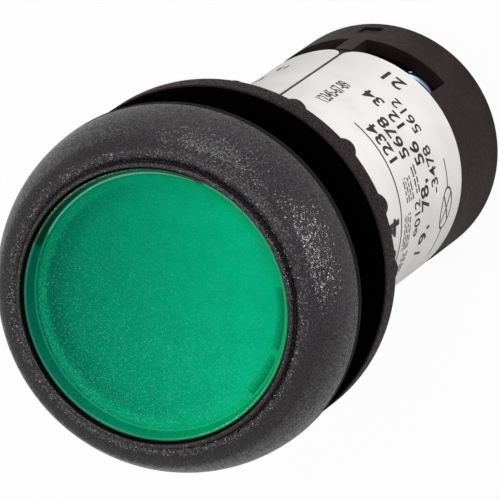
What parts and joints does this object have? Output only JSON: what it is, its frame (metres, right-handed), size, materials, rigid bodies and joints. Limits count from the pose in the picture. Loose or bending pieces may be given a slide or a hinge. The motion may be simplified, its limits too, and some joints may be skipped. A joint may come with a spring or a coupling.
{
  "type": "illuminated pushbutton",
  "caption": "Flush round illuminated pushbutton for a panel hole, with a dark ring, a green lens, a locking nut and screw terminals at the rear.",
  "frame": {"origin": "on the axis, in the plane of the front ring's rear edge, where the threaded neck starts", "axes": "+Z along the axis to the front, where the finger presses; +X through the rib between two wire windows"},
  "size_m": [0.0296, 0.0296, 0.0558],
  "materials": {
    "black_plastic": "fine-grained moulded polyamide",
    "rear_plastic": "plain moulded polyamide",
    "green_lens": "translucent green polycarbonate",
    "white_plastic": "opal polycarbonate",
    "seal_rubber": "matte",
    "label_film": "printed polyester film",
    "spring_steel": "drawn wire",
    "zinc_steel": "blue zinc plate",
    "contact_silver": "silver alloy",
    "brass": "stamped brass",
    "board": "glass-fibre laminate",
    "led_epoxy": "clear epoxy",
    "resistor_body": "lacquer"
  },
  "bodies": {
    "housing": {"front_ring": "black_plastic", "panel_gasket": "seal_rubber", "threaded_collar": "black_plastic", "plunger_seal": "seal_rubber", "body_housing": "rear_plastic", "label_sleeve": "label_film", "terminal_block": "rear_plastic", "rear_cover": "rear_plastic", "contact_terminal_a": "brass", "contact_terminal_b": "brass", "lamp_terminal_a": "brass", "lamp_terminal_b": "brass", "fixed_contact_a": "contact_silver", "fixed_contact_b": "contact_silver", "led_board": "board", "led_lamp": "led_epoxy", "resistor": "resistor_body", "return_spring": "spring_steel"},
    "button": {"button_lens": "green_lens", "diffuser": "white_plastic", "plunger": "white_plastic", "contact_carrier": "white_plastic", "contact_spring": "spring_steel"},
    "bridge": {"contact_bridge": "brass", "moving_contact_a": "contact_silver", "moving_contact_b": "contact_silver"},
    "nut": {"locking_nut": "black_plastic"},
    "screw_1": {"terminal_screw_1": "zinc_steel", "clamp_washer_1": "zinc_steel"},
    "screw_2": {"terminal_screw_2": "zinc_steel", "clamp_washer_2": "zinc_steel"},
    "screw_3": {"terminal_screw_3": "zinc_steel", "clamp_washer_3": "zinc_steel"},
    "screw_4": {"terminal_screw_4": "zinc_steel", "clamp_washer_4": "zinc_steel"}
  },
  "joints": [
    {"name": "press", "type": "slide", "parent": "housing", "child": "button", "axis": [0, 0, -1], "range_m": [0, 0.0027], "stiffness_N_per_m": 1000, "springref_m": -0.002, "deforming": ["return_spring"]},
    {"name": "contact_overtravel", "type": "slide", "parent": "button", "child": "bridge", "axis": [0, 0, 1], "range_m": [0, 0.001], "deforming": ["contact_spring"]},
    {"name": "nut_travel", "type": "slide", "parent": "housing", "child": "nut", "axis": [0, 0, 1], "range_m": [-0.012, 0.0053]},
    {"name": "screw_1_travel", "type": "slide", "parent": "housing", "child": "screw_1", "axis": [0, 0, 1], "range_m": [0, 0.0022]},
    {"name": "screw_2_travel", "type": "slide", "parent": "housing", "child": "screw_2", "axis": [0, 0, 1], "range_m": [0, 0.0022]},
    {"name": "screw_3_travel", "type": "slide", "parent": "housing", "child": "screw_3", "axis": [0, 0, 1], "range_m": [0, 0.0022]},
    {"name": "screw_4_travel", "type": "slide", "parent": "housing", "child": "screw_4", "axis": [0, 0, 1], "range_m": [0, 0.0022]}
  ],
  "couplings": [
    {"joint": "contact_overtravel", "follows": "press", "ratio": 0.37037}
  ]
}
